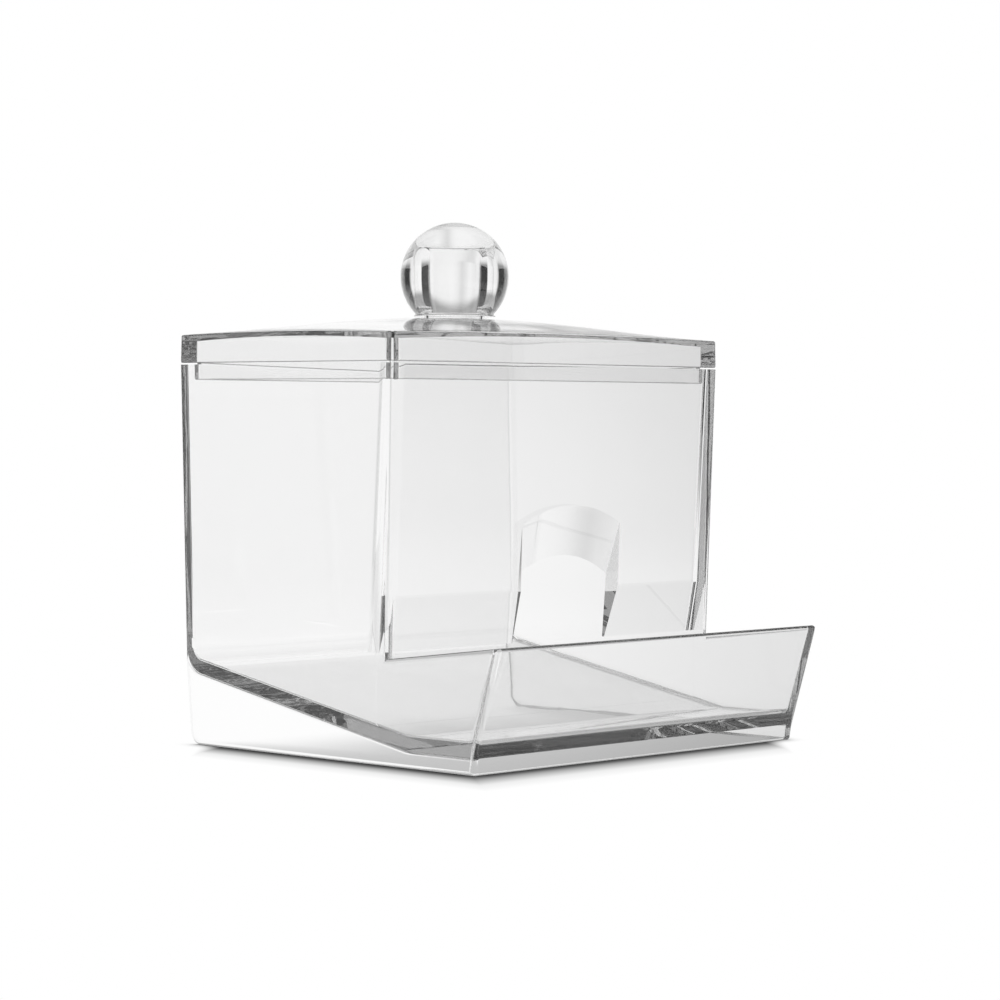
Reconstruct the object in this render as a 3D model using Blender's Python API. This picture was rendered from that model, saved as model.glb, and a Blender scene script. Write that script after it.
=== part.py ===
"""Clear moulded cotton swab holder: a box with a dispensing tray, and a crowned lid with a ball knob.

Metres, +Z up. The origin is under the middle of the whole footprint, on the surface the box
stands on. The tray opens towards -Y and the back wall faces +Y.
"""

import math

import bmesh
import bpy

# Box, outside
BOX_WIDTH = 0.0883  # at the rim
BOX_DEPTH = 0.0558  # front wall to back wall, at the rim
BOX_HEIGHT = 0.0700
TRAY_REACH = 0.0250  # how far the lip stands in front of the front wall's rim
SIDE_DRAFT = math.radians(0.45)
FRONT_DRAFT = math.radians(1.8)
BACK_DRAFT = math.radians(1.5)
BACK_SKIRT_DRAFT = math.radians(5.0)  # rear edges of the side walls, below the floor
FRONT_SKIRT_DRAFT = math.radians(8.0)  # front face below the lip
CORNER_RADIUS = 0.0009
CORNER_STEPS = 3
BACK_FOOT_RADIUS = 0.0025  # those rear edges into the bottom rim
FRONT_FOOT_RADIUS = 0.0006
CURVE_STEPS = 6

# Box, walls and floor
WALL = 0.0013
FRONT_WALL_LOW = 0.0026  # the front wall thickens downwards to this, at its bend
TRAY_STEP = 0.0001  # tray walls and floor stand in by this, where two mould cores meet
FLOOR_THICKNESS = 0.0023
FLOOR_UNDERSIDE = 0.0030  # height of the flat stretch's lower face
FLOOR_SLOPE = math.radians(10.8)
FLAT_AHEAD = 0.0027  # the slope ends this far in front of the front wall's rim
BACK_FILLET = 0.0030  # floor into back wall, inside
BACK_BEND = 0.0045  # back wall into the floor's underside
BEND_PROUD = 0.00005  # the bend's cutter starts this far behind the back face
INNER_RADIUS = 0.0006
INNER_STEPS = 3
BEND_RADIUS = 0.0080  # slope into flat

# Front wall's lower edge, tray and lip
MOULD_LEAN = math.radians(16.0)  # from the vertical, up and forward
SLOT_TOP = 0.0196  # height of the front wall's lower edge
EDGE_LAND = 0.0004  # what is left of the front wall's thickness at that edge
TRAY_SIDE_HEIGHT = 0.0187  # side wall's top where it leaves the front wall
LIP_HEIGHT = 0.0220
LIP_LEAN = math.radians(17.0)
LIP_THICKNESS = 0.0015
LIP_FOOT = 0.0048  # height at which the lip starts to lean

# Finger arch in the front wall
ARCH_WIDTH = 0.0268
ARCH_CENTRE = 0.0034  # to the right of the middle
ARCH_SPRING = 0.0411  # height of the arch's shoulders, on the outer face
ARCH_ROOF_RADIUS = 0.0310
ARCH_SIDE_DRAFT = math.radians(4.0)
ARCH_STEPS = 12

# Lid
LID_SEAT_GAP = 0.0003
LID_RIM_HEIGHT = 0.0051  # outer face at the corners
LID_DRAFT = math.radians(1.0)
LID_CORNER_RADIUS = 0.0009
PLUG_CORNER_RADIUS = 0.0023  # outer face
LID_EDGE_RADIUS = 0.0003
LID_EDGE_STEPS = 2
PLATE_THICKNESS = 0.0014
CROWN_HEIGHT = 0.0038  # middle above corners
EDGE_CROWN = 0.0005  # middle of a side above its corners
PLUG_CLEARANCE = 0.0007
PLUG_WALL = 0.0011
PLUG_DEPTH = 0.0031
LID_CORNER_STEPS = 3
LONG_SIDE_STEPS = 10
SHORT_SIDE_STEPS = 8
CROWN_RINGS = 7
SHARP_ANGLE = math.radians(12.0)  # creases above this stay crisp on the lid

# Knob
BALL_RADIUS = 0.0102
BALL_CENTRE_ABOVE_LID = 0.0078  # above the middle of the crown
BALL_STEPS = 22
NECK_RADIUS = 0.0074
FOOT_RADIUS = 0.0077
FOOT_GAP = 0.0003
FOOT_EDGE = 0.0001  # height of the foot's outer edge
FLARE_STEPS = 3
CORE_RADIUS = 0.0050
CORE_ABOVE_CENTRE = 0.0047
CORE_DOME = 0.0006  # height of the core's domed end
CORE_STEPS = 6
SPIGOT_WALL = 0.0012
SPIGOT_CLEARANCE = 0.0003
KNOB_STEPS = 56

BACK_Y = (BOX_DEPTH + TRAY_REACH) / 2
FRONT_Y = BACK_Y - BOX_DEPTH
FLOOR_TOP = FLOOR_UNDERSIDE + FLOOR_THICKNESS
FLAT_END_Y = FRONT_Y - FLAT_AHEAD
BEND_HEIGHT = SLOT_TOP + (FRONT_WALL_LOW - EDGE_LAND) / math.tan(MOULD_LEAN)
CUT_PAST = 0.0020  # how far a cutter runs past the face that it opens

LID_BOTTOM = BOX_HEIGHT + LID_SEAT_GAP
LID_CORNER_TOP = LID_BOTTOM + LID_RIM_HEIGHT
PLUG_INSET = WALL + PLUG_CLEARANCE
LID_MIDDLE_Y = BACK_Y - BOX_DEPTH / 2
CROWN_TOP = LID_CORNER_TOP + CROWN_HEIGHT
SPIGOT_RADIUS = CORE_RADIUS + SPIGOT_WALL
LID_HOLE_RADIUS = SPIGOT_RADIUS + SPIGOT_CLEARANCE


def clear_scene():
    for obj in list(bpy.data.objects):
        bpy.data.objects.remove(obj, do_unlink=True)


def clear_plastic(name, tint, roughness, refraction):
    material = bpy.data.materials.new(name)
    material.use_nodes = True
    shader = material.node_tree.nodes["Principled BSDF"]
    shader.inputs["Base Color"].default_value = (*tint, 1.0)
    shader.inputs["Metallic"].default_value = 0.0
    shader.inputs["Roughness"].default_value = roughness
    shader.inputs["IOR"].default_value = refraction
    shader.inputs["Transmission Weight"].default_value = 1.0
    return material


def add_object(name, mesh_data, material=None):
    mesh = bpy.data.meshes.new(name)
    bmesh.ops.recalc_face_normals(mesh_data, faces=mesh_data.faces)
    mesh_data.to_mesh(mesh)
    mesh_data.free()
    obj = bpy.data.objects.new(name, mesh)
    bpy.context.scene.collection.objects.link(obj)
    if material:
        mesh.materials.append(material)
    return obj


def cut(target, cutter):
    cutter.hide_render = True
    cutter.display_type = "WIRE"
    modifier = target.modifiers.new(cutter.name, "BOOLEAN")
    modifier.operation = "DIFFERENCE"
    modifier.solver = "EXACT"
    modifier.object = cutter


def half_width(z):
    return BOX_WIDTH / 2 - math.tan(SIDE_DRAFT) * (BOX_HEIGHT - z)


def front_face(z):
    return FRONT_Y + math.tan(FRONT_DRAFT) * (BOX_HEIGHT - z)


def back_face(z):
    return BACK_Y - math.tan(BACK_DRAFT) * (BOX_HEIGHT - z)


def lip_face(z):
    top = FRONT_Y - TRAY_REACH
    return top + math.tan(LIP_LEAN) * (LIP_HEIGHT - z)


def floor_height(y, surface):
    return surface + max(0.0, y - FLAT_END_Y) * math.tan(FLOOR_SLOPE)


SKIRT_TOP = floor_height(BACK_Y, FLOOR_UNDERSIDE)  # the rear edges lean in from here down


def skirt_face(z):
    return back_face(SKIRT_TOP) - math.tan(BACK_SKIRT_DRAFT) * (SKIRT_TOP - z)


def front_skirt_face(z):
    return lip_face(LIP_FOOT) + math.tan(FRONT_SKIRT_DRAFT) * (LIP_FOOT - z)


def back_inner_face(z):
    return back_face(z) - WALL


def bend_face(z):
    return back_face(z) + BEND_PROUD


def lip_inner_face(z):
    return lip_face(z) + LIP_THICKNESS / math.cos(LIP_LEAN)


def front_inner_face(z):
    """The front wall's inner face leans from the rim down to its lower edge, and is upright below."""
    low = front_face(BEND_HEIGHT) + FRONT_WALL_LOW
    high = front_face(BOX_HEIGHT) + WALL
    share = (max(z, SLOT_TOP) - BEND_HEIGHT) / (BOX_HEIGHT - BEND_HEIGHT)
    return low + (high - low) * share


def inside_width(z):
    return half_width(z) - WALL


def tray_inside_width(z):
    return inside_width(z) - TRAY_STEP


def meeting(wall, surface):
    """Point where the sloping floor's surface meets a back wall given as y of z."""
    z = surface
    for _ in range(20):
        z = floor_height(wall(z), surface)
    return wall(z), z


def rounded(corners, steps):
    """Outline of (y, z) with each corner (y, z, radius) turned into an arc of that radius."""
    outline = []
    for index, (y, z, radius) in enumerate(corners):
        if radius == 0:
            outline.append((y, z))
            continue
        before = corners[index - 1]
        after = corners[(index + 1) % len(corners)]
        to_before = math.atan2(before[1] - z, before[0] - y)
        to_after = math.atan2(after[1] - z, after[0] - y)
        turn = (to_after - to_before + math.pi) % (2 * math.pi) - math.pi
        reach = radius / math.tan(abs(turn) / 2)
        off = radius / math.sin(abs(turn) / 2)
        centre_y = y + off * math.cos(to_before + turn / 2)
        centre_z = z + off * math.sin(to_before + turn / 2)
        start_y = y + reach * math.cos(to_before)
        start_z = z + reach * math.sin(to_before)
        first = math.atan2(start_z - centre_z, start_y - centre_y)
        sweep = math.copysign(math.pi - abs(turn), -turn)
        outline += arc(centre_y, centre_z, radius, first, first + sweep, steps)
    return outline


def arc(centre_u, centre_v, radius, first, last, steps):
    """Points (u, v) along an arc, angles in radians from the first direction to the second."""
    points = []
    for step in range(steps + 1):
        angle = first + (last - first) * step / steps
        points.append((centre_u + radius * math.cos(angle), centre_v + radius * math.sin(angle)))
    return points


def bridge(data, one, other):
    """Faces between two closed rows of vertices of the same length."""
    count = len(one)
    for index in range(count):
        after = (index + 1) % count
        data.faces.new((one[index], one[after], other[after], other[index]))


def prism(outline, half_width_of):
    """Solid of an outline of (y, z) across the box, with half widths that follow the height."""
    data = bmesh.new()
    sides = []
    for sign in (-1, 1):
        sides.append([data.verts.new((sign * half_width_of(z), y, z)) for y, z in outline])
        data.faces.new(sides[-1])
    bridge(data, *sides)
    bmesh.ops.recalc_face_normals(data, faces=data.faces)
    return data


def bevel(data, edges, radius, steps):
    bmesh.ops.bevel(
        data,
        geom=edges,
        offset=radius,
        segments=steps,
        profile=0.5,
        affect="EDGES",
        clamp_overlap=False,
    )


def side_edges(data, highest):
    """Edges round the two side faces of a prism, as far up as this height."""
    chosen = []
    for edge in data.edges:
        ends = [vert.co for vert in edge.verts]
        if ends[0].x * ends[1].x > 0 and min(end.z for end in ends) < highest:
            chosen.append(edge)
    return chosen


def box_outside():
    corners = [
        (back_face(BOX_HEIGHT), BOX_HEIGHT, 0),
        (front_face(BOX_HEIGHT), BOX_HEIGHT, 0),
        (front_face(TRAY_SIDE_HEIGHT), TRAY_SIDE_HEIGHT, 0),
        (lip_face(LIP_HEIGHT), LIP_HEIGHT, 0),
        (lip_face(LIP_FOOT), LIP_FOOT, 0),
        (front_skirt_face(0), 0, FRONT_FOOT_RADIUS),
        (skirt_face(0), 0, BACK_FOOT_RADIUS),
        (skirt_face(SKIRT_TOP), SKIRT_TOP, 0),
    ]
    data = prism(rounded(corners, CURVE_STEPS), half_width)
    bevel(data, side_edges(data, BOX_HEIGHT), CORNER_RADIUS, CORNER_STEPS)
    return data


def compartment_space():
    """The swabs' compartment, down to the floor and out through the rim."""
    above = BOX_HEIGHT + CUT_PAST
    foot_y = front_inner_face(SLOT_TOP)
    corners = [
        (back_inner_face(above), above, 0),
        (*meeting(back_inner_face, FLOOR_TOP), BACK_FILLET),
        (foot_y, floor_height(foot_y, FLOOR_TOP), 0),
        (foot_y, SLOT_TOP, 0),
        (front_inner_face(above), above, 0),
    ]
    data = prism(rounded(corners, CURVE_STEPS), inside_width)
    bevel(data, side_edges(data, above), INNER_RADIUS, INNER_STEPS)
    return data


def tray_space():
    """Tray behind the lip, and the slot below the front wall that joins it to the compartment."""
    floor = FLOOR_TOP + TRAY_STEP
    back_y = front_inner_face(SLOT_TOP) + CUT_PAST
    edge_y = front_inner_face(SLOT_TOP) - EDGE_LAND
    over_bend = BEND_HEIGHT + CUT_PAST
    past_lip = LIP_HEIGHT + CUT_PAST
    corners = [
        (back_y, SLOT_TOP, 0),
        (back_y, floor_height(back_y, floor), 0),
        (FLAT_END_Y, floor, BEND_RADIUS),
        (lip_inner_face(floor), floor, LIP_THICKNESS),
        (lip_inner_face(past_lip), past_lip, 0),
        (edge_y - math.tan(MOULD_LEAN) * (over_bend - SLOT_TOP), over_bend, 0),
        (edge_y, SLOT_TOP, 0),
    ]
    data = prism(rounded(corners, CURVE_STEPS), tray_inside_width)
    bevel(data, side_edges(data, SLOT_TOP), INNER_RADIUS, INNER_STEPS)
    return data


def underside_space():
    """Hollow below the floor, open at the bottom rim and at the back, below the back wall's bend."""
    below = -CUT_PAST
    past_back = BACK_Y + CUT_PAST
    front_y = lip_face(LIP_FOOT) + WALL
    bend = rounded(
        [
            (bend_face(BOX_HEIGHT), BOX_HEIGHT, 0),
            (*meeting(bend_face, FLOOR_UNDERSIDE), BACK_BEND),
            (FLAT_END_Y, FLOOR_UNDERSIDE, 0),
        ],
        CURVE_STEPS,
    )[1:-1]
    corners = [(past_back, below, 0), (past_back, bend[0][1], 0)]
    corners += [(y, z, 0) for y, z in bend]
    corners += [
        (FLAT_END_Y, FLOOR_UNDERSIDE, BEND_RADIUS),
        (front_y, FLOOR_UNDERSIDE, 0),
        (front_y + math.tan(FRONT_SKIRT_DRAFT) * (FLOOR_UNDERSIDE - below), below, 0),
    ]
    data = prism(rounded(corners, CURVE_STEPS), inside_width)
    bevel(data, side_edges(data, BOX_HEIGHT), INNER_RADIUS, INNER_STEPS)
    return data


def arch_outline(shift, narrower):
    """Arch as (x, z), lowered by shift and drawn in by narrower on each side."""
    half = ARCH_WIDTH / 2
    half_angle = math.asin(half / ARCH_ROOF_RADIUS)
    outline = [(half - narrower, SLOT_TOP / 2), (-half + narrower, SLOT_TOP / 2)]
    for step in range(ARCH_STEPS + 1):
        angle = half_angle * (2 * step / ARCH_STEPS - 1)
        x = ARCH_ROOF_RADIUS * math.sin(angle) * (half - narrower) / half
        drop = ARCH_ROOF_RADIUS * (math.cos(angle) - math.cos(half_angle))
        outline.append((x, ARCH_SPRING + drop - shift))
    return [(ARCH_CENTRE + x, z) for x, z in outline]


def arch_cutter():
    """Arch swept down and inwards along the mould's lean, through the front wall."""
    outer_y = front_face(ARCH_SPRING)
    loops = []
    data = bmesh.new()
    for y in (FRONT_Y - CUT_PAST, front_inner_face(SLOT_TOP) + CUT_PAST):
        along = (y - outer_y) / math.tan(MOULD_LEAN)
        narrower = along * math.tan(ARCH_SIDE_DRAFT)
        loops.append([data.verts.new((x, y, z)) for x, z in arch_outline(along, narrower)])
        data.faces.new(loops[-1])
    bridge(data, *loops)
    return data


def make_box(material):
    box = add_object("box", box_outside(), material)
    cut(box, add_object("compartment_space", compartment_space()))
    cut(box, add_object("tray_space", tray_space()))
    cut(box, add_object("underside_space", underside_space()))
    cut(box, add_object("arch_cutter", arch_cutter()))
    return box


def crown(x, y):
    """Height of the lid's top face above its corners."""
    across = 1 - (2 * x / BOX_WIDTH) ** 2
    along = 1 - (2 * y / BOX_DEPTH) ** 2
    return EDGE_CROWN * (across + along) + (CROWN_HEIGHT - 2 * EDGE_CROWN) * across * along


def lid_corner(inset):
    """Corner radius this far inside the lid's edge: the plug has rounder corners than the rim."""
    if inset < PLUG_INSET:
        return max(LID_CORNER_RADIUS - inset, INNER_RADIUS)
    return PLUG_CORNER_RADIUS - (inset - PLUG_INSET)


def lid_outline(inset):
    """Rectangle with round corners and split sides, this far inside the lid's edge."""
    radius = lid_corner(inset)
    half_x = BOX_WIDTH / 2 - inset - radius
    half_y = BOX_DEPTH / 2 - inset - radius
    points = []
    for index, (sx, sy) in enumerate(((1, 1), (-1, 1), (-1, -1), (1, -1))):
        first = math.pi / 2 * index
        last = first + math.pi / 2
        points += arc(sx * half_x, sy * half_y, radius, first, last, LID_CORNER_STEPS)
        x, y = points[-1]
        count = LONG_SIDE_STEPS if index % 2 == 0 else SHORT_SIDE_STEPS
        for step in range(1, count):
            if index % 2 == 0:
                points.append((x * (1 - 2 * step / count), y))
            else:
                points.append((x, y * (1 - 2 * step / count)))
    return points


def flat_loop(inset, z):
    return [(x, LID_MIDDLE_Y + y, z) for x, y in lid_outline(inset)]


def crowned_loop(inset, z):
    return [(x, LID_MIDDLE_Y + y, z + crown(x, y)) for x, y in lid_outline(inset)]


def crown_loops(inset, z, count):
    """Loops from the rectangle at this inset in to the spigot's hole, on the crown at this height."""
    loops = []
    for ring in range(1, count + 1):
        share = ring / count
        loop = []
        for x, y in lid_outline(inset):
            angle = math.atan2(y / BOX_DEPTH, x / BOX_WIDTH)
            px = x * (1 - share) + LID_HOLE_RADIUS * math.cos(angle) * share
            py = y * (1 - share) + LID_HOLE_RADIUS * math.sin(angle) * share
            loop.append((px, LID_MIDDLE_Y + py, z + crown(px, py)))
        loops.append(loop)
    return loops


def make_lid(material):
    """Crowned plate, outer rim and the plug that drops into the box, as one skin of loops."""
    plate_under = LID_CORNER_TOP - PLATE_THICKNESS
    plug_bottom = LID_BOTTOM - PLUG_DEPTH
    plug_inner = PLUG_INSET + PLUG_WALL
    rim_top_inset = LID_RIM_HEIGHT * math.tan(LID_DRAFT)
    edge = LID_EDGE_RADIUS
    loops = [flat_loop(0.0, LID_BOTTOM)]
    for in_by, up_by in arc(edge, -edge, edge, math.pi, math.pi / 2, LID_EDGE_STEPS):
        loops.append(crowned_loop(rim_top_inset + in_by, LID_CORNER_TOP + up_by))
    loops += crown_loops(rim_top_inset + edge, LID_CORNER_TOP, CROWN_RINGS)
    loops += reversed(crown_loops(plug_inner, plate_under, CROWN_RINGS))
    loops += [
        crowned_loop(plug_inner, plate_under),
        flat_loop(plug_inner, plug_bottom),
        flat_loop(PLUG_INSET + PLUG_DEPTH * math.tan(LID_DRAFT), plug_bottom),
        flat_loop(PLUG_INSET, LID_BOTTOM),
    ]
    data = bmesh.new()
    rings = [[data.verts.new(point) for point in loop] for loop in loops]
    for index, ring in enumerate(rings):
        bridge(data, ring, rings[(index + 1) % len(rings)])
    lid = add_object("lid", data, material)
    lid.data.shade_smooth()
    lid.data.set_sharp_from_angle(angle=SHARP_ANGLE)
    return lid


def knob_profile():
    """Half section (r, z) of the knob, from the ball's top round to the core's top."""
    centre_z = CROWN_TOP + BALL_CENTRE_ABOVE_LID
    foot_z = CROWN_TOP + FOOT_GAP
    neck_angle = -math.acos(NECK_RADIUS / BALL_RADIUS)
    neck_z = centre_z + BALL_RADIUS * math.sin(neck_angle)
    flare = FOOT_RADIUS - NECK_RADIUS
    flare_foot = foot_z + FOOT_EDGE
    spigot_bottom = CROWN_TOP - PLATE_THICKNESS
    dome_foot = centre_z + CORE_ABOVE_CENTRE - CORE_DOME
    profile = arc(0.0, centre_z, BALL_RADIUS, math.pi / 2, neck_angle, BALL_STEPS)
    for across, down in arc(flare, 0.0, flare, math.pi, math.pi * 1.5, FLARE_STEPS)[1:]:
        profile.append((NECK_RADIUS + across, neck_z + down * (neck_z - flare_foot) / flare))
    profile += [
        (FOOT_RADIUS, foot_z),
        (SPIGOT_RADIUS, foot_z),
        (SPIGOT_RADIUS, spigot_bottom),
        (CORE_RADIUS, spigot_bottom),
    ]
    for across, up in arc(0.0, 0.0, 1.0, 0.0, math.pi / 2, CORE_STEPS):
        profile.append((CORE_RADIUS * across, dome_foot + CORE_DOME * up))
    return profile


def make_knob(material):
    """Ball cored from below, with a tubular spigot that goes through the lid's hole."""
    profile = knob_profile()
    mesh = bpy.data.meshes.new("knob")
    points = [(r, 0.0, z) for r, z in profile]
    points[0] = (0.0, 0.0, profile[0][1])
    points[-1] = (0.0, 0.0, profile[-1][1])
    mesh.from_pydata(points, [(index, index + 1) for index in range(len(points) - 1)], [])
    mesh.materials.append(material)
    knob = bpy.data.objects.new("knob", mesh)
    bpy.context.scene.collection.objects.link(knob)
    knob.location = (0.0, LID_MIDDLE_Y, 0.0)
    turn = knob.modifiers.new("turn", "SCREW")
    turn.axis = "Z"
    turn.steps = KNOB_STEPS
    turn.render_steps = KNOB_STEPS
    turn.use_merge_vertices = True
    turn.merge_threshold = 0.00001
    turn.use_smooth_shade = True
    return knob


def main():
    clear_scene()
    make_box(clear_plastic("clear_box", (0.97, 0.98, 0.98), 0.03, 1.57))
    lid_plastic = clear_plastic("clear_lid", (0.97, 0.98, 0.98), 0.03, 1.57)
    make_lid(lid_plastic)
    make_knob(lid_plastic)


main()
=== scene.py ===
"""Looks of the clear cotton swab holder: its three mouldings with fine fillets, in clear plastic.

Metres, +Z up. The tray opens towards -Y, and the frame gives the overall sizes.
"""

import math

import bmesh
import bpy
from mathutils import Matrix, Vector


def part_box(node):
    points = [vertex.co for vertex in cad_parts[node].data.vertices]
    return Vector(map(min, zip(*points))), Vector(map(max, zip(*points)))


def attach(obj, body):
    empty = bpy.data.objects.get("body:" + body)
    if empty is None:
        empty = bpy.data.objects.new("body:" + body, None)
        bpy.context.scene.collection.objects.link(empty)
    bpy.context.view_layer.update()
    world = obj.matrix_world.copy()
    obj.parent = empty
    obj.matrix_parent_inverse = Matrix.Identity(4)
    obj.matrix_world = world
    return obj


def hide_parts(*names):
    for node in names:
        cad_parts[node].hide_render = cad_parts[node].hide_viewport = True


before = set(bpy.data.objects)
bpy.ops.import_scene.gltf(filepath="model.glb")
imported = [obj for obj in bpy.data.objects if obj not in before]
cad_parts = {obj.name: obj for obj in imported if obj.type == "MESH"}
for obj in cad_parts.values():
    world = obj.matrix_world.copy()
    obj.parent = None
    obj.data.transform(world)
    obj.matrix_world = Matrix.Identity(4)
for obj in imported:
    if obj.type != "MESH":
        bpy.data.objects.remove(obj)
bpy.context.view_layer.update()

# Sizes from the frame, in metres
BOX_LOW, BOX_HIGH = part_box("box")
LID_LOW, LID_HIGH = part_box("lid")
KNOB_LOW, KNOB_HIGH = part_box("knob")
BOX_WIDTH = BOX_HIGH.x - BOX_LOW.x
BOX_HEIGHT = BOX_HIGH.z
BOX_DEPTH = LID_HIGH.y - LID_LOW.y
BACK_Y = BOX_HIGH.y
FRONT_Y = BACK_Y - BOX_DEPTH
LIP_TOP_Y = BOX_LOW.y
LID_MIDDLE_Y = (LID_LOW.y + LID_HIGH.y) / 2

# Box, outside: as in the solids, with finer curves
SIDE_DRAFT = math.radians(0.45)
FRONT_DRAFT = math.radians(1.8)
BACK_DRAFT = math.radians(1.5)
BACK_SKIRT_DRAFT = math.radians(5.0)  # rear edges of the side walls, below the floor
FRONT_SKIRT_DRAFT = math.radians(8.0)  # front face below the lip
CORNER_RADIUS = 0.0009
BACK_FOOT_RADIUS = 0.0025  # those rear edges into the bottom rim
FRONT_FOOT_RADIUS = 0.0006
EDGE_STEPS = 6
CURVE_STEPS = 12

# Box, walls and floor
WALL = 0.0013
FRONT_WALL_LOW = 0.0026  # the front wall thickens downwards to this, at its bend
TRAY_STEP = 0.0001  # tray walls and floor stand in by this, where two mould cores meet
FLOOR_THICKNESS = 0.0023
FLOOR_UNDERSIDE = 0.0030  # height of the flat stretch's lower face
FLOOR_SLOPE = math.radians(10.8)
FLAT_AHEAD = 0.0027  # the slope ends this far in front of the front wall's rim
BACK_FILLET = 0.0030  # floor into back wall, inside
BACK_BEND = 0.0045  # back wall into the floor's underside
BEND_PROUD = 0.00005  # the bend's cutter starts this far behind the back face
INNER_RADIUS = 0.0006
FRONT_INNER_RADIUS = 0.0025  # upright front corners of the compartment
BEND_RADIUS = 0.0080  # slope into flat

# Front wall's lower edge, tray, lip and arch
MOULD_LEAN = math.radians(16.0)  # from the vertical, up and forward
SLOT_TOP = 0.0196  # height of the front wall's lower edge
EDGE_LAND = 0.0004  # what is left of the front wall's thickness at that edge
TRAY_SIDE_HEIGHT = 0.0187  # side wall's top where it leaves the front wall
LIP_HEIGHT = 0.0220
LIP_LEAN = math.radians(17.0)
LIP_THICKNESS = 0.0015
LIP_EDGE_RADIUS = 0.0005
LIP_FOOT = 0.0048  # height at which the lip starts to lean
ARCH_WIDTH = 0.0268
ARCH_CENTRE = 0.0034  # to the right of the middle
ARCH_SPRING = 0.0411  # height of the arch's shoulders, on the outer face
ARCH_ROOF_RADIUS = 0.0310
ARCH_SIDE_DRAFT = math.radians(4.0)
ARCH_STEPS = 36
CUT_PAST = 0.0020  # how far a cutter runs past the face that it opens

# Lid
PLUG_DEPTH = 0.0031
LID_BOTTOM = LID_LOW.z + PLUG_DEPTH
LID_RIM_HEIGHT = 0.0051  # outer face at the corners
LID_CORNER_TOP = LID_BOTTOM + LID_RIM_HEIGHT
LID_DRAFT = math.radians(1.0)
LID_CORNER_RADIUS = 0.0009
PLUG_CORNER_RADIUS = 0.0013
LID_EDGE_RADIUS = 0.0003
RIM_EDGE = 0.0003  # rim's lower edge
PLUG_EDGE = 0.00035  # plug's lower edges
PLATE_THICKNESS = 0.0014
CROWN_HEIGHT = 0.0038  # middle above corners
EDGE_CROWN = 0.0005  # middle of a side above its corners
PLUG_CLEARANCE = 0.0007
PLUG_INSET = WALL + PLUG_CLEARANCE
PLUG_WALL = 0.0011
LONG_SIDE_STEPS = 44
SHORT_SIDE_STEPS = 28
CROWN_RINGS = 26
CROWN_TOP = LID_CORNER_TOP + CROWN_HEIGHT

# Knob
BALL_RADIUS = (KNOB_HIGH.x - KNOB_LOW.x) / 2
BALL_CENTRE_Z = KNOB_HIGH.z - BALL_RADIUS
BALL_STEPS = 48
NECK_RADIUS = 0.0074
FOOT_RADIUS = 0.0077
FOOT_GAP = 0.0003
FOOT_EDGE = 0.0001  # height of the foot's outer edge
CORE_RADIUS = 0.0050
CORE_ABOVE_CENTRE = 0.0047
CORE_DOME = 0.0006  # height of the core's domed end
SPIGOT_WALL = 0.0012
SPIGOT_CLEARANCE = 0.0003
SPIGOT_RADIUS = CORE_RADIUS + SPIGOT_WALL
LID_HOLE_RADIUS = SPIGOT_RADIUS + SPIGOT_CLEARANCE
KNOB_STEPS = 128

FLAT_END_Y = FRONT_Y - FLAT_AHEAD
FLOOR_TOP = FLOOR_UNDERSIDE + FLOOR_THICKNESS
SKIRT_IN = math.tan(SIDE_DRAFT) * BOX_HEIGHT  # side walls at the bottom, in from the rim
BEND_HEIGHT = SLOT_TOP + (FRONT_WALL_LOW - EDGE_LAND) / math.tan(MOULD_LEAN)

# Normals: curved strips are narrow facets that meet a neighbour at a small angle
STRIP_WIDTH = 0.00045
LEAST_ANGLE = math.radians(0.2)
SOFT_ANGLE = math.radians(25.0)
PLATE_TILT = 0.9  # crowned faces have at least this much upright in their normal
PLATE_MARGIN = 0.0001

MEETING_STEPS = 20


def half_width(z):
    return BOX_WIDTH / 2 - math.tan(SIDE_DRAFT) * (BOX_HEIGHT - z)


def front_face(z):
    return FRONT_Y + math.tan(FRONT_DRAFT) * (BOX_HEIGHT - z)


def back_face(z):
    return BACK_Y - math.tan(BACK_DRAFT) * (BOX_HEIGHT - z)


def lip_face(z):
    return LIP_TOP_Y + math.tan(LIP_LEAN) * (LIP_HEIGHT - z)


def floor_height(y, surface):
    return surface + max(0.0, y - FLAT_END_Y) * math.tan(FLOOR_SLOPE)


SKIRT_TOP = floor_height(BACK_Y, FLOOR_UNDERSIDE)


def skirt_face(z):
    return back_face(SKIRT_TOP) - math.tan(BACK_SKIRT_DRAFT) * (SKIRT_TOP - z)


def front_skirt_face(z):
    return lip_face(LIP_FOOT) + math.tan(FRONT_SKIRT_DRAFT) * (LIP_FOOT - z)


def back_inner_face(z):
    return back_face(z) - WALL


def bend_face(z):
    return back_face(z) + BEND_PROUD


def lip_inner_face(z):
    return lip_face(z) + LIP_THICKNESS / math.cos(LIP_LEAN)


def front_inner_face(z):
    low = front_face(BEND_HEIGHT) + FRONT_WALL_LOW
    high = front_face(BOX_HEIGHT) + WALL
    share = (max(z, SLOT_TOP) - BEND_HEIGHT) / (BOX_HEIGHT - BEND_HEIGHT)
    return low + (high - low) * share


def inside_width(z):
    return half_width(z) - WALL


def tray_inside_width(z):
    return inside_width(z) - TRAY_STEP


def meeting(wall, surface):
    """Where a wall's face and the floor's surface cross, as (y, z)."""
    z = surface
    for _ in range(MEETING_STEPS):
        z = floor_height(wall(z), surface)
    return wall(z), z


def arc(centre_u, centre_v, radius, first, last, steps):
    points = []
    for step in range(steps + 1):
        angle = first + (last - first) * step / steps
        points.append((centre_u + radius * math.cos(angle), centre_v + radius * math.sin(angle)))
    return points


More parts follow.
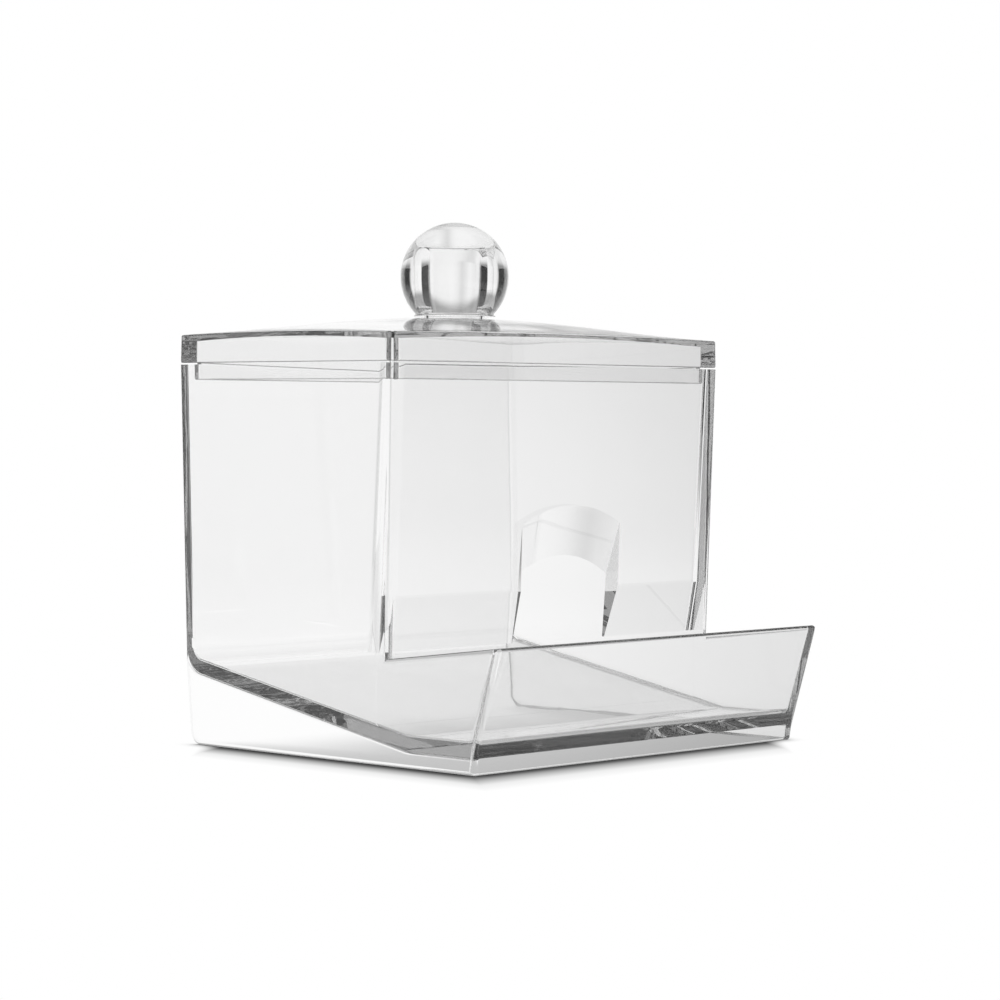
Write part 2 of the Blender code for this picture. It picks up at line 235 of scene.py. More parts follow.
def rounded(corners, steps):
    """Outline of (y, z), with each corner (y, z, radius) turned into an arc of that radius."""
    outline = []
    for index, (y, z, radius) in enumerate(corners):
        if radius == 0:
            outline.append((y, z))
            continue
        before = corners[index - 1]
        after = corners[(index + 1) % len(corners)]
        to_before = math.atan2(before[1] - z, before[0] - y)
        to_after = math.atan2(after[1] - z, after[0] - y)
        turn = (to_after - to_before + math.pi) % (2 * math.pi) - math.pi
        reach = radius / math.tan(abs(turn) / 2)
        off = radius / math.sin(abs(turn) / 2)
        centre_y = y + off * math.cos(to_before + turn / 2)
        centre_z = z + off * math.sin(to_before + turn / 2)
        start_y = y + reach * math.cos(to_before)
        start_z = z + reach * math.sin(to_before)
        first = math.atan2(start_z - centre_z, start_y - centre_y)
        sweep = math.copysign(math.pi - abs(turn), -turn)
        outline += arc(centre_y, centre_z, radius, first, first + sweep, steps)
    return outline


def bridge(data, one, other):
    count = len(one)
    for index in range(count):
        after = (index + 1) % count
        data.faces.new((one[index], one[after], other[after], other[index]))


def prism(outline, half_width_of):
    data = bmesh.new()
    sides = []
    for sign in (-1, 1):
        sides.append([data.verts.new((sign * half_width_of(z), y, z)) for y, z in outline])
        data.faces.new(sides[-1])
    bridge(data, *sides)
    bmesh.ops.recalc_face_normals(data, faces=data.faces)
    return data


def bevel(data, edges, radius, steps):
    bmesh.ops.bevel(
        data,
        geom=edges,
        offset=radius,
        segments=steps,
        profile=0.5,
        affect="EDGES",
        clamp_overlap=False,
    )


def side_edges(data, highest):
    chosen = []
    for edge in data.edges:
        ends = [vert.co for vert in edge.verts]
        if ends[0].x * ends[1].x > 0 and min(end.z for end in ends) < highest:
            chosen.append(edge)
    return chosen


def box_outside():
    corners = [
        (back_face(BOX_HEIGHT), BOX_HEIGHT, 0),
        (front_face(BOX_HEIGHT), BOX_HEIGHT, 0),
        (front_face(TRAY_SIDE_HEIGHT), TRAY_SIDE_HEIGHT, 0),
        (lip_face(LIP_HEIGHT), LIP_HEIGHT, LIP_EDGE_RADIUS),
        (lip_face(LIP_FOOT), LIP_FOOT, 0),
        (front_skirt_face(0), 0, FRONT_FOOT_RADIUS),
        (skirt_face(0), 0, BACK_FOOT_RADIUS),
        (skirt_face(SKIRT_TOP), SKIRT_TOP, 0),
    ]
    data = prism(rounded(corners, CURVE_STEPS), half_width)
    bevel(data, side_edges(data, BOX_HEIGHT), CORNER_RADIUS, EDGE_STEPS)
    return data


def compartment_foot_space():
    """The compartment below the front wall's lower edge, down to the sloping floor."""
    foot_y = front_inner_face(SLOT_TOP)
    corners = [
        (back_inner_face(SLOT_TOP), SLOT_TOP, 0),
        (*meeting(back_inner_face, FLOOR_TOP), BACK_FILLET),
        (foot_y, floor_height(foot_y, FLOOR_TOP), 0),
        (foot_y, SLOT_TOP, 0),
    ]
    data = prism(rounded(corners, CURVE_STEPS), inside_width)
    bevel(data, side_edges(data, SLOT_TOP - CUT_PAST), INNER_RADIUS, EDGE_STEPS)
    return data


def compartment_space():
    """The compartment from there up, with rounder corners at the front."""
    above = BOX_HEIGHT + CUT_PAST
    corners = [
        (back_inner_face(above), above),
        (back_inner_face(SLOT_TOP), SLOT_TOP),
        (front_inner_face(SLOT_TOP), SLOT_TOP),
        (front_inner_face(above), above),
    ]
    data = prism(corners, inside_width)
    upright = []
    for edge in data.edges:
        if abs(edge.verts[0].co.z - edge.verts[1].co.z) > WALL:
            upright.append(edge)
    front = [edge for edge in upright if edge.verts[0].co.y < LID_MIDDLE_Y]
    back = [edge for edge in upright if edge not in front]
    bevel(data, back, INNER_RADIUS, EDGE_STEPS)
    bevel(data, front, FRONT_INNER_RADIUS, 2 * EDGE_STEPS)
    return data


def tray_space():
    floor = FLOOR_TOP + TRAY_STEP
    back_y = front_inner_face(SLOT_TOP) + CUT_PAST
    edge_y = front_inner_face(SLOT_TOP) - EDGE_LAND
    over_bend = BEND_HEIGHT + CUT_PAST
    past_lip = LIP_HEIGHT + CUT_PAST
    corners = [
        (back_y, SLOT_TOP, 0),
        (back_y, floor_height(back_y, floor), 0),
        (FLAT_END_Y, floor, BEND_RADIUS),
        (lip_inner_face(floor), floor, LIP_THICKNESS),
        (lip_inner_face(past_lip), past_lip, 0),
        (edge_y - math.tan(MOULD_LEAN) * (over_bend - SLOT_TOP), over_bend, 0),
        (edge_y, SLOT_TOP, 0),
    ]
    data = prism(rounded(corners, CURVE_STEPS), tray_inside_width)
    bevel(data, side_edges(data, SLOT_TOP), INNER_RADIUS, EDGE_STEPS)
    return data


def underside_space():
    below = -CUT_PAST
    past_back = BACK_Y + CUT_PAST
    front_y = lip_face(LIP_FOOT) + WALL
    bend = rounded(
        [
            (bend_face(BOX_HEIGHT), BOX_HEIGHT, 0),
            (*meeting(bend_face, FLOOR_UNDERSIDE), BACK_BEND),
            (FLAT_END_Y, FLOOR_UNDERSIDE, 0),
        ],
        CURVE_STEPS,
    )[1:-1]
    corners = [(past_back, below, 0), (past_back, bend[0][1], 0)]
    corners += [(y, z, 0) for y, z in bend]
    corners += [
        (FLAT_END_Y, FLOOR_UNDERSIDE, BEND_RADIUS),
        (front_y, FLOOR_UNDERSIDE, 0),
        (front_y + math.tan(FRONT_SKIRT_DRAFT) * (FLOOR_UNDERSIDE - below), below, 0),
    ]
    data = prism(rounded(corners, CURVE_STEPS), inside_width)
    bevel(data, side_edges(data, BOX_HEIGHT), INNER_RADIUS, EDGE_STEPS)
    return data


def arch_outline(shift, narrower):
    half = ARCH_WIDTH / 2
    half_angle = math.asin(half / ARCH_ROOF_RADIUS)
    outline = [(half - narrower, SLOT_TOP / 2), (-half + narrower, SLOT_TOP / 2)]
    for step in range(ARCH_STEPS + 1):
        angle = half_angle * (2 * step / ARCH_STEPS - 1)
        x = ARCH_ROOF_RADIUS * math.sin(angle) * (half - narrower) / half
        drop = ARCH_ROOF_RADIUS * (math.cos(angle) - math.cos(half_angle))
        outline.append((x, ARCH_SPRING + drop - shift))
    return [(ARCH_CENTRE + x, z) for x, z in outline]


def arch_space():
    outer_y = front_face(ARCH_SPRING)
    loops = []
    data = bmesh.new()
    for y in (FRONT_Y - CUT_PAST, front_inner_face(SLOT_TOP) + CUT_PAST):
        along = (y - outer_y) / math.tan(MOULD_LEAN)
        narrower = along * math.tan(ARCH_SIDE_DRAFT)
        loops.append([data.verts.new((x, y, z)) for x, z in arch_outline(along, narrower)])
        data.faces.new(loops[-1])
    bridge(data, *loops)
    bmesh.ops.recalc_face_normals(data, faces=data.faces)
    return data


def new_object(name, data):
    mesh = bpy.data.meshes.new(name)
    data.to_mesh(mesh)
    data.free()
    obj = bpy.data.objects.new(name, mesh)
    bpy.context.scene.collection.objects.link(obj)
    return obj


def carve(target, spaces):
    """Cuts each space out of the target and keeps the result as its mesh."""
    cutters = [new_object("cutter", space) for space in spaces]
    for cutter in cutters:
        modifier = target.modifiers.new("cut", "BOOLEAN")
        modifier.operation = "DIFFERENCE"
        modifier.solver = "EXACT"
        modifier.object = cutter
    graph = bpy.context.evaluated_depsgraph_get()
    carved = bpy.data.meshes.new_from_object(target.evaluated_get(graph))
    target.modifiers.clear()
    target.data = carved
    for cutter in cutters:
        bpy.data.objects.remove(cutter, do_unlink=True)


def is_strip(face):
    """A facet of a fillet: narrow, and meeting a neighbour at a small angle."""
    if face.calc_area() / max(edge.calc_length() for edge in face.edges) > STRIP_WIDTH:
        return False
    angles = [edge.calc_face_angle(math.pi) for edge in face.edges if len(edge.link_faces) == 2]
    return any(LEAST_ANGLE < angle < SOFT_ANGLE for angle in angles)


def polish(obj, is_curved):
    """Normals that turn smoothly over curved faces and leave the flat ones exactly flat."""
    data = bmesh.new()
    data.from_mesh(obj.data)
    data.normal_update()
    curved = {face for face in data.faces if is_curved(face)}
    least = math.cos(SOFT_ANGLE)
    normals = []
    for face in data.faces:
        for loop in face.loops:
            normal = face.normal
            if face in curved:
                around = loop.vert.link_faces
                near = [other for other in around if other.normal.dot(normal) > least]
                flat = [other for other in near if other not in curved]
                if flat:
                    normal = max(flat, key=lambda other: other.calc_area()).normal
                else:
                    normal = sum((other.normal * other.calc_area() for other in near), Vector())
                    normal = normal.normalized()
            normals.append(tuple(normal))
    data.free()
    obj.data.shade_smooth()
    obj.data.normals_split_custom_set(normals)


def make_box(material):
    box = new_object("box_moulding", box_outside())
    spaces = (compartment_foot_space, compartment_space, tray_space, underside_space, arch_space)
    carve(box, [space() for space in spaces])
    polish(box, is_strip)
    box.data.materials.clear()
    box.data.materials.append(material)
    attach(box, "box")
    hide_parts("box")


def crown(x, y):
    across = 1 - (2 * x / BOX_WIDTH) ** 2
    along = 1 - (2 * y / BOX_DEPTH) ** 2
    return EDGE_CROWN * (across + along) + (CROWN_HEIGHT - 2 * EDGE_CROWN) * across * along


def lid_corner(inset):
    if inset < PLUG_INSET:
        return max(LID_CORNER_RADIUS - inset, INNER_RADIUS)
    return max(PLUG_CORNER_RADIUS - (inset - PLUG_INSET), LID_EDGE_RADIUS)


def lid_outline(inset):
    radius = lid_corner(inset)
    half_x = BOX_WIDTH / 2 - inset - radius
    half_y = BOX_DEPTH / 2 - inset - radius
    points = []
    for index, (sx, sy) in enumerate(((1, 1), (-1, 1), (-1, -1), (1, -1))):
        first = math.pi / 2 * index
        last = first + math.pi / 2
        points += arc(sx * half_x, sy * half_y, radius, first, last, EDGE_STEPS)
        x, y = points[-1]
        count = LONG_SIDE_STEPS if index % 2 == 0 else SHORT_SIDE_STEPS
        for step in range(1, count):
            if index % 2 == 0:
                points.append((x * (1 - 2 * step / count), y))
            else:
                points.append((x, y * (1 - 2 * step / count)))
    return points


def flat_loop(inset, z):
    return [(x, LID_MIDDLE_Y + y, z) for x, y in lid_outline(inset)]


def crowned_loop(inset, z):
    return [(x, LID_MIDDLE_Y + y, z + crown(x, y)) for x, y in lid_outline(inset)]


def crown_loops(inset, z, count):
    loops = []
    for ring in range(1, count + 1):
        share = ring / count
        loop = []
        for x, y in lid_outline(inset):
            angle = math.atan2(y / BOX_DEPTH, x / BOX_WIDTH)
            px = x * (1 - share) + LID_HOLE_RADIUS * math.cos(angle) * share
            py = y * (1 - share) + LID_HOLE_RADIUS * math.sin(angle) * share
            loop.append((px, LID_MIDDLE_Y + py, z + crown(px, py)))
        loops.append(loop)
    return loops


def is_crown_or_strip(face):
    plate_under = LID_CORNER_TOP - PLATE_THICKNESS - PLATE_MARGIN
    in_plate = face.calc_center_median().z > plate_under
    return (in_plate and abs(face.normal.z) > PLATE_TILT) or is_strip(face)


def make_lid(material):
    plate_under = LID_CORNER_TOP - PLATE_THICKNESS
    plug_bottom = LID_BOTTOM - PLUG_DEPTH
    plug_inner = PLUG_INSET + PLUG_WALL
    rim_top_inset = LID_RIM_HEIGHT * math.tan(LID_DRAFT)
    edge = LID_EDGE_RADIUS
    loops = []
    rim_edge = arc(RIM_EDGE, RIM_EDGE, RIM_EDGE, -math.pi / 2, -math.pi, EDGE_STEPS)
    for in_by, up_by in rim_edge:
        loops.append(flat_loop(in_by, LID_BOTTOM + up_by))
    for in_by, up_by in arc(edge, -edge, edge, math.pi, math.pi / 2, EDGE_STEPS):
        loops.append(crowned_loop(rim_top_inset + in_by, LID_CORNER_TOP + up_by))
    loops += crown_loops(rim_top_inset + edge, LID_CORNER_TOP, CROWN_RINGS)
    loops += reversed(crown_loops(plug_inner, plate_under, CROWN_RINGS))
    loops.append(crowned_loop(plug_inner, plate_under))
    inner_edge = arc(-PLUG_EDGE, PLUG_EDGE, PLUG_EDGE, 0.0, -math.pi / 2, EDGE_STEPS)
    for in_by, up_by in inner_edge:
        loops.append(flat_loop(plug_inner + in_by, plug_bottom + up_by))
    plug_outer = PLUG_INSET + PLUG_DEPTH * math.tan(LID_DRAFT)
    outer_edge = arc(PLUG_EDGE, PLUG_EDGE, PLUG_EDGE, -math.pi / 2, -math.pi, EDGE_STEPS)
    for in_by, up_by in outer_edge:
        loops.append(flat_loop(plug_outer + in_by, plug_bottom + up_by))
    loops.append(flat_loop(PLUG_INSET, LID_BOTTOM))
    data = bmesh.new()
    rings = [[data.verts.new(point) for point in loop] for loop in loops]
    for index, ring in enumerate(rings):
        bridge(data, ring, rings[(index + 1) % len(rings)])
    bmesh.ops.recalc_face_normals(data, faces=data.faces)
    lid = new_object("lid_moulding", data)
    polish(lid, is_crown_or_strip)
    lid.data.materials.append(material)
    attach(lid, "lid")
    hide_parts("lid")


def knob_profile():
    foot_z = CROWN_TOP + FOOT_GAP
    neck_angle = -math.acos(NECK_RADIUS / BALL_RADIUS)
    neck_z = BALL_CENTRE_Z + BALL_RADIUS * math.sin(neck_angle)
    flare = FOOT_RADIUS - NECK_RADIUS
    flare_foot = foot_z + FOOT_EDGE
    spigot_bottom = CROWN_TOP - PLATE_THICKNESS
    dome_foot = BALL_CENTRE_Z + CORE_ABOVE_CENTRE - CORE_DOME
    profile = arc(0.0, BALL_CENTRE_Z, BALL_RADIUS, math.pi / 2, neck_angle, BALL_STEPS)
    for across, down in arc(flare, 0.0, flare, math.pi, math.pi * 1.5, EDGE_STEPS)[1:]:
        profile.append((NECK_RADIUS + across, neck_z + down * (neck_z - flare_foot) / flare))
    profile += [
        (FOOT_RADIUS, foot_z),
        (SPIGOT_RADIUS, foot_z),
        (SPIGOT_RADIUS, spigot_bottom),
        (CORE_RADIUS, spigot_bottom),
    ]
    for across, up in arc(0.0, 0.0, 1.0, 0.0, math.pi / 2, CURVE_STEPS):
        profile.append((CORE_RADIUS * across, dome_foot + CORE_DOME * up))
    return profile


def make_knob(material):
    """The profile turned round the lid's middle, closed at both ends on the axis."""
    data = bmesh.new()
    profile = knob_profile()
    top = data.verts.new((0.0, LID_MIDDLE_Y, profile[0][1]))
    bottom = data.verts.new((0.0, LID_MIDDLE_Y, profile[-1][1]))
    rings = []
    for radius, z in profile[1:-1]:
        ring = []
        for step in range(KNOB_STEPS):
            turn = 2 * math.pi * step / KNOB_STEPS
            x, y = radius * math.cos(turn), radius * math.sin(turn)
            ring.append(data.verts.new((x, LID_MIDDLE_Y + y, z)))
        rings.append(ring)
    for one, other in zip(rings, rings[1:]):
        bridge(data, one, other)
    for tip, ring in ((top, rings[0]), (bottom, rings[-1])):
        for index in range(KNOB_STEPS):
            data.faces.new((tip, ring[index], ring[(index + 1) % KNOB_STEPS]))
    bmesh.ops.recalc_face_normals(data, faces=data.faces)
    knob = new_object("knob_moulding", data)
    knob.data.shade_smooth()
    knob.data.set_sharp_from_angle(angle=SOFT_ANGLE)
    knob.data.materials.append(material)
    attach(knob, "lid")
    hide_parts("knob")


# Clear plastic: long ways through it, as along a wall, come out grey
CLEAR_IOR = 1.57
DEPTH_GREY = 0.20
WAVE_LENGTH = 0.012
FLOW_LENGTH = 0.0035
FLOW_STRETCH = 0.25
FLOW_DISTORTION = 0.6
HAZE = 0.012
HAZE_FROM, HAZE_TO = 0.55, 0.85
WAVE_HEIGHT = 0.00002
KNOB_WAVE_HEIGHT = 0.00001
FLOW_HEIGHT = 0.000001
BOX_DENSITY = 13.0
LID_DENSITY = 16.0
KNOB_DENSITY = 6.0
LIGHT_BOUNCES = 64


def add_node(tree, kind, **values):
    node = tree.nodes.new(kind)
    for name, value in values.items():
        node.inputs[name.replace("_", " ")].default_value = value
    return node


def noise(tree, place, wave_length, **values):
    node = add_node(tree, "ShaderNodeTexNoise", Scale=1 / wave_length, **values)
    tree.links.new(place, node.inputs["Vector"])
    return node.outputs["Fac"]


def clear_plastic(name, density, wave_height):
    """Moulded clear plastic: faint waves and flow marks in its skin, and grey in depth."""
    material = bpy.data.materials.new(name)
    material.use_nodes = True
    tree = material.node_tree
    shader = tree.nodes["Principled BSDF"]
    shader.inputs["Base Color"].default_value = (1.0, 1.0, 1.0, 1.0)
    shader.inputs["IOR"].default_value = CLEAR_IOR
    shader.inputs["Transmission Weight"].default_value = 1.0
    place = tree.nodes.new("ShaderNodeTexCoord").outputs["Object"]
    waves = noise(tree, place, WAVE_LENGTH, Detail=1.0)
    stretch = tree.nodes.new("ShaderNodeMapping")
    stretch.inputs["Scale"].default_value = (1.0, 1.0, FLOW_STRETCH)
    tree.links.new(place, stretch.inputs["Vector"])
    place = stretch.outputs["Vector"]
    flow = noise(tree, place, FLOW_LENGTH, Detail=2.0, Distortion=FLOW_DISTORTION)
    skin = add_node(tree, "ShaderNodeBump", Strength=1.0, Distance=wave_height)
    tree.links.new(waves, skin.inputs["Height"])
    marks = add_node(tree, "ShaderNodeBump", Strength=1.0, Distance=FLOW_HEIGHT)
    tree.links.new(flow, marks.inputs["Height"])
    tree.links.new(skin.outputs["Normal"], marks.inputs["Normal"])
    tree.links.new(marks.outputs["Normal"], shader.inputs["Normal"])
    haze = smooth_step(tree, flow, HAZE_FROM, HAZE_TO, 0.0, HAZE)
    tree.links.new(haze, shader.inputs["Roughness"])
    depth = tree.nodes.new("ShaderNodeVolumeAbsorption")
    depth.inputs["Color"].default_value = (DEPTH_GREY, DEPTH_GREY, DEPTH_GREY, 1.0)
    depth.inputs["Density"].default_value = density
    output = tree.nodes["Material Output"]
    tree.links.new(depth.outputs["Volume"], output.inputs["Volume"])
    return material


# Camera, as fitted to the lid's and box's corners in the photograph
CAMERA_PLACE = Vector((-0.42204, LID_MIDDLE_Y - 0.40827, 0.06123))
CAMERA_YAW = math.radians(43.194)
CAMERA_PITCH = math.radians(1.586)
CAMERA_ROLL = math.radians(0.301)
CAMERA_LENS = 111.98
SENSOR_WIDTH = 36.0
CLIP_START = 0.01


def make_camera():
    ahead = Vector((
        math.cos(CAMERA_YAW) * math.cos(CAMERA_PITCH),
        math.sin(CAMERA_YAW) * math.cos(CAMERA_PITCH),
        -math.sin(CAMERA_PITCH),
    ))
    level = Vector((math.sin(CAMERA_YAW), -math.cos(CAMERA_YAW), 0.0))
    upright = level.cross(ahead)
    right = level * math.cos(CAMERA_ROLL) + upright * math.sin(CAMERA_ROLL)
    up = upright * math.cos(CAMERA_ROLL) - level * math.sin(CAMERA_ROLL)
    data = bpy.data.cameras.new("camera")
    data.lens = CAMERA_LENS
    data.sensor_width = SENSOR_WIDTH
    data.clip_start = CLIP_START
    camera = bpy.data.objects.new("camera", data)
    bpy.context.scene.collection.objects.link(camera)
    matrix = Matrix((right, up, -ahead)).transposed().to_4x4()
    matrix.translation = CAMERA_PLACE
    camera.matrix_world = matrix
    bpy.context.scene.camera = camera


def smooth_step(tree, value, start, end, low, high):
    node = tree.nodes.new("ShaderNodeMapRange")
    node.interpolation_type = "SMOOTHSTEP"
    tree.links.new(value, node.inputs["Value"])
    node.inputs["From Min"].default_value = start
    node.inputs["From Max"].default_value = end
    node.inputs["To Min"].default_value = low
    node.inputs["To Max"].default_value = high
    return node.outputs["Result"]


def ramp(tree, value, stops):
    node = tree.nodes.new("ShaderNodeValToRGB")
    ends = node.color_ramp.elements
    for position, level in stops[1:-1]:
        ends.new(position).color = (level, level, level, 1.0)
    ends[0].position, ends[0].color = stops[0][0], (stops[0][1],) * 3 + (1.0,)
    ends[-1].position, ends[-1].color = stops[-1][0], (stops[-1][1],) * 3 + (1.0,)
    tree.links.new(value, node.inputs["Fac"])
    return node.outputs["Color"]


def math_node(tree, operation, *values):
    node = tree.nodes.new("ShaderNodeMath")
    node.operation = operation
    for index, value in enumerate(values):
        if isinstance(value, float):
            node.inputs[index].default_value = value
        else:
            tree.links.new(value, node.inputs[index])
    return node.outputs[0]


def mix_values(tree, share, one, other):
    node = tree.nodes.new("ShaderNodeMix")
    tree.links.new(share, node.inputs["Factor"])
    for socket, value in (("A", one), ("B", other)):
        if isinstance(value, float):
            node.inputs[socket].default_value = value
        else:
            tree.links.new(value, node.inputs[socket])
    return node.outputs["Result"]


# Studio light by compass angle from the camera's direction, in degrees, positive to the right
LEFT_LEVEL = 0.82
RIGHT_LEVEL = 0.27
BEHIND_LEVEL = 0.75
FLAG_LEVEL = 0.0
COMPASS = (
    (-180.0, BEHIND_LEVEL),
    (-130.0, LEFT_LEVEL),
    (-84.0, LEFT_LEVEL),
    (-80.0, FLAG_LEVEL),
    (-48.0, FLAG_LEVEL),
    (-44.0, 1.0),
    (44.0, 1.0),
    (48.0, FLAG_LEVEL),
    (78.0, FLAG_LEVEL),
    (82.0, RIGHT_LEVEL),
    (110.0, RIGHT_LEVEL),
    (180.0, BEHIND_LEVEL),
)
SOFT_SHADE = ((-3.0, 1.0), (1.0, 0.94), (5.5, 0.76), (14.0, 1.0))  # same angles
# Above the screens, by the upward part of a direction
ABOVE_FROM, ABOVE_TO = 0.26, 0.42
ABOVE_SHARE = 0.34
ABOVE_LEAST = 0.07
OVERHEAD_FROM, OVERHEAD_TO = 0.82, 0.95
OVERHEAD_LEVEL = 0.80


def screen_axes(tree, vector):
    """A vector's reach along two fixed directions: the photograph's right, and away from it."""
    parts = []
    for axis in (
        (math.sin(CAMERA_YAW), -math.cos(CAMERA_YAW), 0.0),
        (math.cos(CAMERA_YAW), math.sin(CAMERA_YAW), 0.0),
    ):
        node = tree.nodes.new("ShaderNodeVectorMath")
        node.operation = "DOT_PRODUCT"
        node.inputs[1].default_value = axis
        tree.links.new(vector, node.inputs[0])
        parts.append(node.outputs["Value"])
    return parts


def compass_level(tree, vector, table):
    """Level from a table by the compass angle of a direction."""
    angle = math_node(tree, "ARCTAN2", *screen_axes(tree, vector))
    turn = math_node(tree, "MULTIPLY_ADD", angle, 0.5 / math.pi, 0.5)
    return ramp(tree, turn, [(0.5 + degrees / 360, value) for degrees, value in table])


def make_world():
    """White screen behind the object, a black flag at each side, pale room, soft light above."""
    world = bpy.data.worlds.new("studio")
    bpy.context.scene.world = world
    world.use_nodes = True
    tree = world.node_tree
    background = tree.nodes["Background"]
    direction = tree.nodes.new("ShaderNodeTexCoord").outputs["Generated"]
    level = compass_level(tree, direction, COMPASS)
    level = math_node(tree, "MULTIPLY", level, compass_level(tree, direction, SOFT_SHADE))
    split = tree.nodes.new("ShaderNodeSeparateXYZ")
    tree.links.new(direction, split.inputs[0])
    upward = split.outputs["Z"]
    above = smooth_step(tree, upward, ABOVE_FROM, ABOVE_TO, 0.0, 1.0)
    over = math_node(tree, "MULTIPLY_ADD", level, ABOVE_SHARE, ABOVE_LEAST)
    light = mix_values(tree, above, level, over)
    overhead = smooth_step(tree, upward, OVERHEAD_FROM, OVERHEAD_TO, 0.0, 1.0)
    light = mix_values(tree, overhead, light, OVERHEAD_LEVEL)
    light_path = tree.nodes.new("ShaderNodeLightPath")
    light = math_node(tree, "MAXIMUM", light, light_path.outputs["Is Camera Ray"])
    tree.links.new(light, background.inputs["Strength"])
    background.inputs["Color"].default_value = (1.0, 1.0, 1.0, 1.0)


# Floor: white paper that glows, with painted shadows, painted shade and painted light levels far
# out
FLOOR_HALF_SIZE = 0.60
# Far out, the paper's glow is painted to the room's light level by direction, never below
# FAR_LEAST
NEAR_FLOOR = 0.28  # white up to here from the middle, then fading to the room's level
FAR_LEAST = 0.3
# Painted cast shadow of the box, drawn on the paper as if from the light behind
SHADOW_LENGTH = 0.023  # towards the camera, from the light behind
SHADOW_FADE = ((0.0, 0.12), (0.1, 0.17), (0.3, 0.47), (0.6, 0.86), (1.0, 1.0))
SIDE_SHADOW_SHARE = 0.8  # length beside the left wall, as a share of that
SHADOW_ENDS = (-0.0555, -0.0500, 0.0485, 0.0535)  # across the camera's direction
# Painted contact shadow next to the box, from ambient occlusion
CONTACT_REACH = 0.004
CONTACT_LEVEL = 0.1
# Painted shade under the box, from ambient occlusion, for rays through or off the plastic
UNDER_REACH = 0.014
UNDER_OPEN = 0.9
UNDER_LEVEL = 0.52
SHADE_SAMPLES = 16


# Painted shade: the level drops towards low where the ambient occlusion node finds geometry
# within reach
def occlusion(tree, reach, end, low):
    shade = tree.nodes.new("ShaderNodeAmbientOcclusion")
    shade.samples = SHADE_SAMPLES
    shade.inputs["Distance"].default_value = reach
    return smooth_step(tree, shade.outputs["AO"], 0.0, end, low, 1.0)


def subtract_place(tree, place, spot):
    node = tree.nodes.new("ShaderNodeVectorMath")
    node.operation = "SUBTRACT"
    tree.links.new(place, node.inputs[0])
    node.inputs[1].default_value = spot
    return node.outputs["Vector"]


def painted_paper_shading(tree, place):
    """Painted light and shade of the paper where the plastic shows or mirrors it: white near the
    middle, the room's light level far out, times a painted soft shade and a painted shade under
    the box.
    """
    reach = tree.nodes.new("ShaderNodeVectorMath")
    reach.operation = "LENGTH"
    tree.links.new(place, reach.inputs[0])
    far = smooth_step(tree, reach.outputs["Value"], NEAR_FLOOR, FLOOR_HALF_SIZE, 0.0, 1.0)
    far_level = math_node(tree, "MAXIMUM", compass_level(tree, place, COMPASS), FAR_LEAST)
    level = mix_values(tree, far, 1.0, far_level)
    from_camera = subtract_place(tree, place, CAMERA_PLACE)
    # Painted soft shade, darker in a band just right of the camera's direction
    shade = compass_level(tree, from_camera, SOFT_SHADE)
    # Painted shade under the box
    under = occlusion(tree, UNDER_REACH, UNDER_OPEN, UNDER_LEVEL)
    return math_node(tree, "MULTIPLY", math_node(tree, "MULTIPLY", level, shade), under)


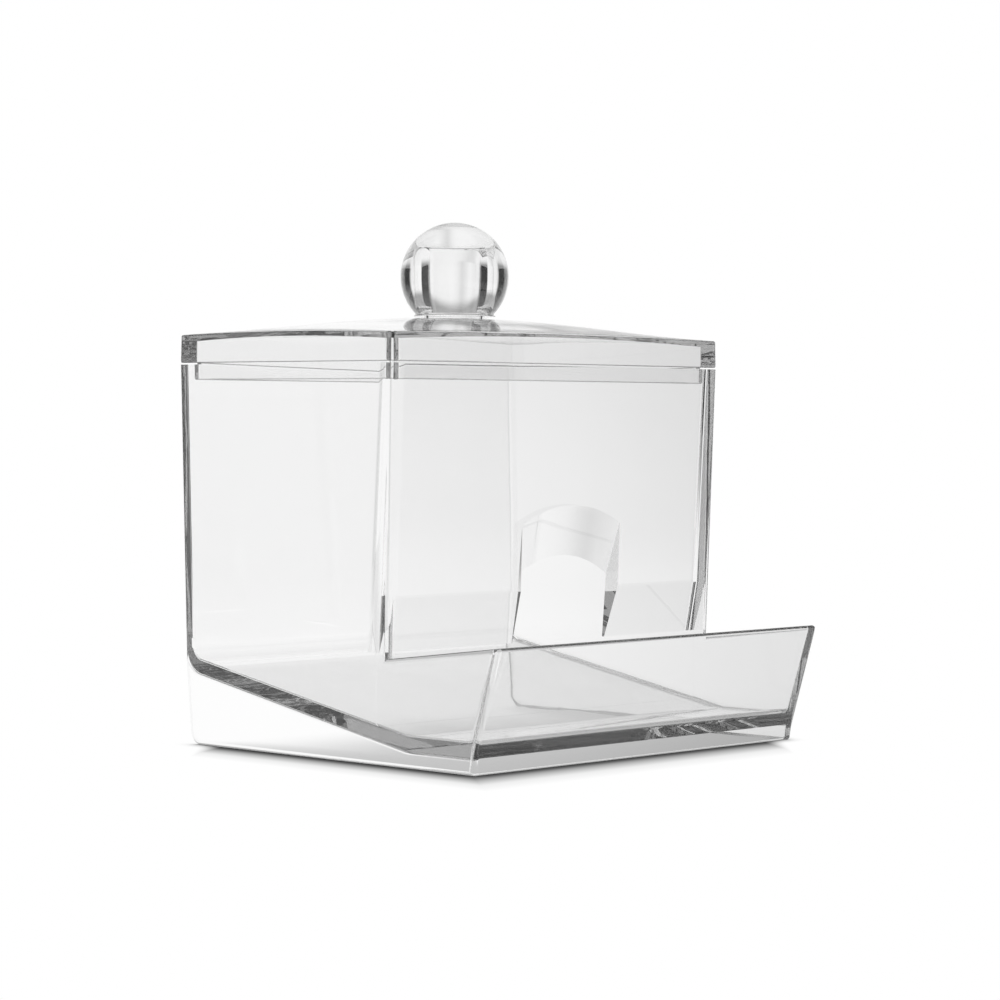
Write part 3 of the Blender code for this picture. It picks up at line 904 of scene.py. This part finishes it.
def cast_shadow(tree, place):
    """Painted cast shadow: openness of the paper in front of the box's two near sides, 0 next to
    them.
    """
    axes = tree.nodes.new("ShaderNodeSeparateXYZ")
    tree.links.new(place, axes.inputs[0])
    beside = math_node(tree, "MULTIPLY_ADD", axes.outputs["X"], -1.0, BOX_LOW.x + SKIRT_IN)
    before = math_node(tree, "MULTIPLY_ADD", axes.outputs["Y"], -1.0, front_skirt_face(0))
    beside = math_node(tree, "DIVIDE", beside, math.cos(CAMERA_YAW) * SIDE_SHADOW_SHARE)
    before = math_node(tree, "DIVIDE", before, math.sin(CAMERA_YAW))
    away = math_node(tree, "MAXIMUM", beside, before)
    fade = math_node(tree, "MULTIPLY", away, 1 / SHADOW_LENGTH)
    fade = ramp(tree, fade, SHADOW_FADE)
    across = screen_axes(tree, place)[0]
    left = smooth_step(tree, across, *SHADOW_ENDS[:2], 1.0, 0.0)
    right = smooth_step(tree, across, *SHADOW_ENDS[2:], 0.0, 1.0)
    ends = math_node(tree, "MAXIMUM", left, right)
    behind = smooth_step(tree, away, -CONTACT_REACH, 0.0, 1.0, 0.0)
    return math_node(tree, "MAXIMUM", math_node(tree, "MAXIMUM", fade, ends), behind)


def make_floor():
    """White paper with a painted contact shadow and the box's painted soft shadow."""
    data = bmesh.new()
    along = Vector((math.cos(CAMERA_YAW), math.sin(CAMERA_YAW), 0.0))
    across = Vector((math.sin(CAMERA_YAW), -math.cos(CAMERA_YAW), 0.0))
    corners = []
    for u, v in ((-1, -1), (1, -1), (1, 1), (-1, 1)):
        corners.append((across * u + along * v) * FLOOR_HALF_SIZE)
    data.faces.new([data.verts.new(corner) for corner in corners])
    floor = new_object("floor", data)
    material = bpy.data.materials.new("white_paper_painted_shadow")
    material.use_nodes = True
    tree = material.node_tree
    tree.nodes.clear()
    output = tree.nodes.new("ShaderNodeOutputMaterial")
    paper = tree.nodes.new("ShaderNodeEmission")
    place = tree.nodes.new("ShaderNodeNewGeometry").outputs["Position"]
    contact = occlusion(tree, CONTACT_REACH, 1.0, CONTACT_LEVEL)
    # Painted shadows: camera rays see the contact shadow times the cast shadow, other rays the
    # painted paper shading
    for_camera = math_node(tree, "MULTIPLY", contact, cast_shadow(tree, place))
    for_camera_ray = tree.nodes.new("ShaderNodeLightPath").outputs["Is Camera Ray"]
    level = mix_values(tree, for_camera_ray, painted_paper_shading(tree, place), for_camera)
    tree.links.new(level, paper.inputs["Strength"])
    tree.links.new(paper.outputs[0], output.inputs["Surface"])
    floor.data.materials.append(material)


def main():
    scene = bpy.context.scene
    scene.view_settings.view_transform = "Standard"
    scene.cycles.max_bounces = LIGHT_BOUNCES
    scene.cycles.transmission_bounces = LIGHT_BOUNCES
    scene.cycles.glossy_bounces = LIGHT_BOUNCES
    make_box(clear_plastic("clear_plastic_box", BOX_DENSITY, WAVE_HEIGHT))
    make_lid(clear_plastic("clear_plastic_lid", LID_DENSITY, WAVE_HEIGHT))
    make_knob(clear_plastic("clear_plastic_knob", KNOB_DENSITY, KNOB_WAVE_HEIGHT))
    make_camera()
    make_world()
    make_floor()


main()
